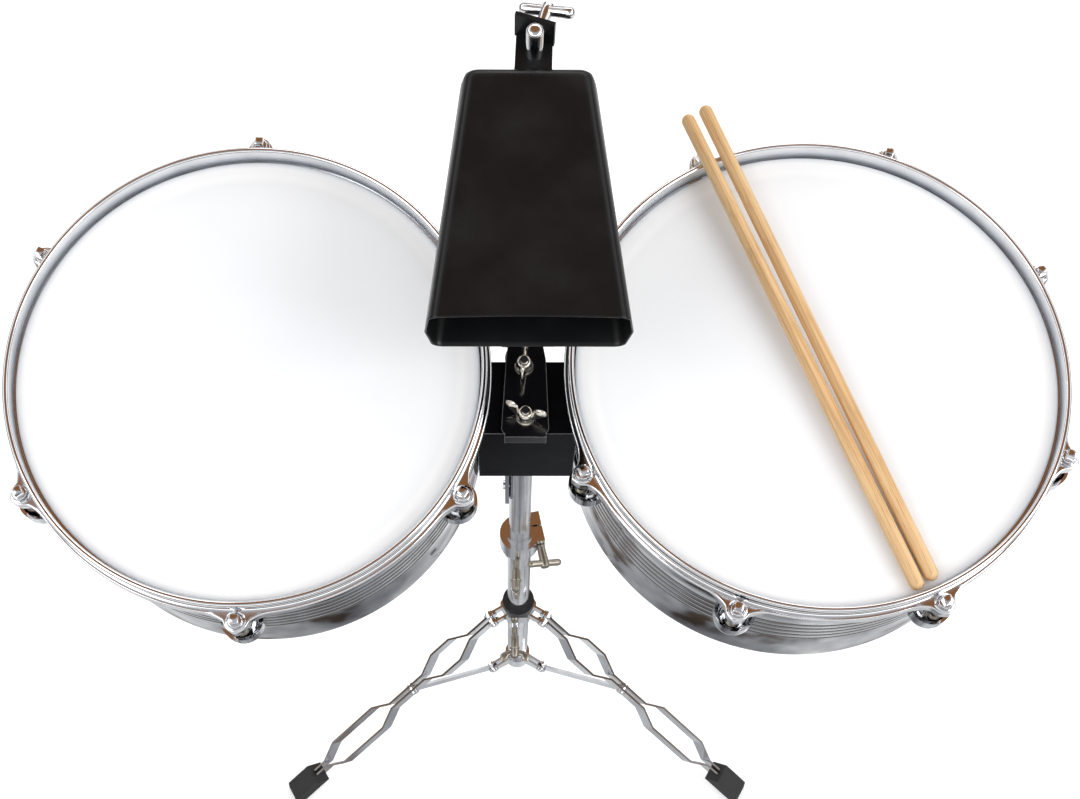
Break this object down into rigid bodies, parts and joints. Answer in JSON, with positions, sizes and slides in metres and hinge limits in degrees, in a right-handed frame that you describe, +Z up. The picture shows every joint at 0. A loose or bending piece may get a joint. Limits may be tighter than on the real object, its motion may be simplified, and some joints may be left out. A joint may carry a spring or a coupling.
{
  "type": "timbales",
  "caption": "Pair of metal-shell timbales with rimmed heads, tension rods and lugs, a cowbell on a post between them, and a folding tripod stand with strip legs.",
  "frame": {"origin": "centre of the bounding box on the floor under the feet", "axes": "+Z up, -Y towards the player, +X to the player's right, where the larger drum is"},
  "size_m": [0.7772, 0.6024, 1.2963],
  "materials": {
    "stand_chrome": "bright plated tube and strip",
    "drum_chrome": "mirror plated rims, lugs and rods",
    "shell_steel": "polished plated sheet with rolled grooves",
    "coated_film": "white sand-coated film",
    "black_lacquer": "gloss black lacquer on folded steel",
    "satin_black_steel": "satin black coating on sheet steel",
    "black_plastic": "moulded black nylon",
    "brass_tint": "yellow-passivated thread",
    "foot_rubber": "matt moulded rubber",
    "stick_wood": "waxed hickory"
  },
  "bodies": {
    "base": {"lower_tube": "stand_chrome", "height_clamp": "stand_chrome", "clamp_bush": "stand_chrome", "lower_hub": "stand_chrome", "hub_pins": "stand_chrome"},
    "collar": {"leg_collar": "stand_chrome", "collar_bush": "black_plastic", "collar_pins": "stand_chrome"},
    "leg_1": {"leg_1": "stand_chrome", "foot_1": "foot_rubber"},
    "leg_2": {"leg_2": "stand_chrome", "foot_2": "foot_rubber"},
    "leg_3": {"leg_3": "stand_chrome", "foot_3": "foot_rubber"},
    "brace_1": {"brace_1": "stand_chrome"},
    "brace_2": {"brace_2": "stand_chrome"},
    "brace_3": {"brace_3": "stand_chrome"},
    "clamp_bolt": {"clamp_t_bolt": "stand_chrome"},
    "lock_bolt": {"lock_wing_bolt": "brass_tint"},
    "collar_bolt": {"collar_wing_bolt": "brass_tint"},
    "mast": {"upper_tube": "stand_chrome", "side_strap": "stand_chrome", "strap_rivets": "stand_chrome", "tilter_block": "stand_chrome"},
    "head": {"shell_small": "shell_steel", "head_small": "coated_film", "flesh_hoop_small": "drum_chrome", "rim_small": "drum_chrome", "lugs_small": "drum_chrome", "tension_rods_small": "drum_chrome", "rod_washers_small": "drum_chrome", "lug_nuts_small": "brass_tint", "lug_screws_small": "drum_chrome", "shell_large": "shell_steel", "head_large": "coated_film", "flesh_hoop_large": "drum_chrome", "rim_large": "drum_chrome", "lugs_large": "drum_chrome", "tension_rods_large": "drum_chrome", "rod_washers_large": "drum_chrome", "lug_nuts_large": "brass_tint", "lug_screws_large": "drum_chrome", "bracket": "black_lacquer", "bracket_screws": "stand_chrome", "cowbell_arm": "black_lacquer", "arm_bolts": "stand_chrome", "post_socket": "stand_chrome", "tilt_ears": "black_lacquer", "tilt_bolt": "stand_chrome"},
    "tilt_grip": {"tilt_handle": "stand_chrome"},
    "front_nut": {"wing_nut_front": "stand_chrome"},
    "rear_nut": {"wing_nut_rear": "stand_chrome"},
    "post_lock": {"post_screw": "brass_tint"},
    "post": {"post": "stand_chrome"},
    "bell": {"cowbell": "satin_black_steel", "cowbell_bracket": "satin_black_steel"},
    "bell_bolt": {"cowbell_t_bolt": "stand_chrome"},
    "stick_a": {"stick_1": "stick_wood"},
    "stick_b": {"stick_2": "stick_wood"}
  },
  "joints": [
    {"name": "height_slide", "type": "slide", "parent": "base", "child": "mast", "axis": [0, 0, 1], "range_m": [-0.085, 0.12]},
    {"name": "collar_slide", "type": "slide", "parent": "base", "child": "collar", "axis": [0, 0, 1], "range_m": [0, 0.0954]},
    {"name": "leg_1_hinge", "type": "hinge", "parent": "collar", "child": "leg_1", "pos_m": [-0.04746, -0.05484, 0.3], "axis": [0.5, -0.866, 0], "range_deg": [0, 45.79]},
    {"name": "brace_1_hinge", "type": "hinge", "parent": "base", "child": "brace_1", "pos_m": [-0.04746, -0.05484, 0.08], "axis": [-0.5, 0.866, 0], "range_deg": [0, 45.79]},
    {"name": "leg_2_hinge", "type": "hinge", "parent": "collar", "child": "leg_2", "pos_m": [0.01489, -0.05484, 0.3], "axis": [0.5, 0.866, 0], "range_deg": [0, 45.79]},
    {"name": "brace_2_hinge", "type": "hinge", "parent": "base", "child": "brace_2", "pos_m": [0.01489, -0.05484, 0.08], "axis": [-0.5, -0.866, 0], "range_deg": [0, 45.79]},
    {"name": "leg_3_hinge", "type": "hinge", "parent": "collar", "child": "leg_3", "pos_m": [-0.01629, -0.00084, 0.3], "axis": [-1, 0, 0], "range_deg": [0, 45.79]},
    {"name": "brace_3_hinge", "type": "hinge", "parent": "base", "child": "brace_3", "pos_m": [-0.01629, -0.00084, 0.08], "axis": [1, 0, 0], "range_deg": [0, 45.79]},
    {"name": "tilt_hinge", "type": "hinge", "parent": "mast", "child": "head", "pos_m": [-0.01629, -0.02886, 1.0107], "axis": [1, 0, 0], "range_deg": [-30, 20]},
    {"name": "clamp_bolt_turn", "type": "hinge", "parent": "base", "child": "clamp_bolt", "pos_m": [0.00931, -0.06104, 0.541], "axis": [0.2079, -0.9781, 0], "range_deg": [0, 180]},
    {"name": "lock_bolt_turn", "type": "hinge", "parent": "base", "child": "lock_bolt", "pos_m": [-0.01979, -0.05683, 0.515], "axis": [0, -1, 0], "range_deg": [0, 180]},
    {"name": "collar_bolt_turn", "type": "hinge", "parent": "collar", "child": "collar_bolt", "pos_m": [-0.02029, -0.05683, 0.262], "axis": [0, -1, 0], "range_deg": [0, 180]},
    {"name": "tilt_grip_turn", "type": "hinge", "parent": "head", "child": "tilt_grip", "pos_m": [-0.00128, -0.02886, 1.0107], "axis": [1, 0, 0], "range_deg": [0, 180]},
    {"name": "front_nut_turn", "type": "hinge", "parent": "head", "child": "front_nut", "pos_m": [-0.01528, -0.12799, 1.08233], "axis": [0, -0.0872, 0.9962], "range_deg": [0, 180]},
    {"name": "rear_nut_turn", "type": "hinge", "parent": "head", "child": "rear_nut", "pos_m": [-0.01629, -0.08864, 1.08577], "axis": [0, -0.0872, 0.9962], "range_deg": [0, 180]},
    {"name": "post_screw_turn", "type": "hinge", "parent": "head", "child": "post_lock", "pos_m": [-0.01029, 0.09468, 1.11305], "axis": [0, 0.9962, 0.0872], "range_deg": [0, 180]},
    {"name": "post_slide", "type": "slide", "parent": "head", "child": "post", "axis": [0, -0.0872, 0.9962], "range_m": [-0.03, 0.05]},
    {"name": "bell_swivel", "type": "hinge", "parent": "post", "child": "bell", "pos_m": [-0.01029, 0.0659, 1.26994], "axis": [0, -0.0872, 0.9962], "range_deg": [-30, 30]},
    {"name": "bell_bolt_turn", "type": "hinge", "parent": "bell", "child": "bell_bolt", "pos_m": [-0.01029, 0.06538, 1.27592], "axis": [0.309, 0.9474, 0.0829], "range_deg": [0, 180]},
    {"name": "stick_a_lift", "type": "slide", "parent": "head", "child": "stick_a", "axis": [0, -0.061, 0.9981], "range_m": [0, 0.3]},
    {"name": "stick_b_lift", "type": "slide", "parent": "head", "child": "stick_b", "axis": [0, -0.061, 0.9981], "range_m": [0, 0.3]}
  ],
  "couplings": [
    {"joint": "leg_1_hinge", "follows": "collar_slide", "rad_per_m": 8.3738},
    {"joint": "brace_1_hinge", "follows": "collar_slide", "rad_per_m": 8.3738},
    {"joint": "leg_2_hinge", "follows": "collar_slide", "rad_per_m": 8.3738},
    {"joint": "brace_2_hinge", "follows": "collar_slide", "rad_per_m": 8.3738},
    {"joint": "leg_3_hinge", "follows": "collar_slide", "rad_per_m": 8.3738},
    {"joint": "brace_3_hinge", "follows": "collar_slide", "rad_per_m": 8.3738}
  ]
}
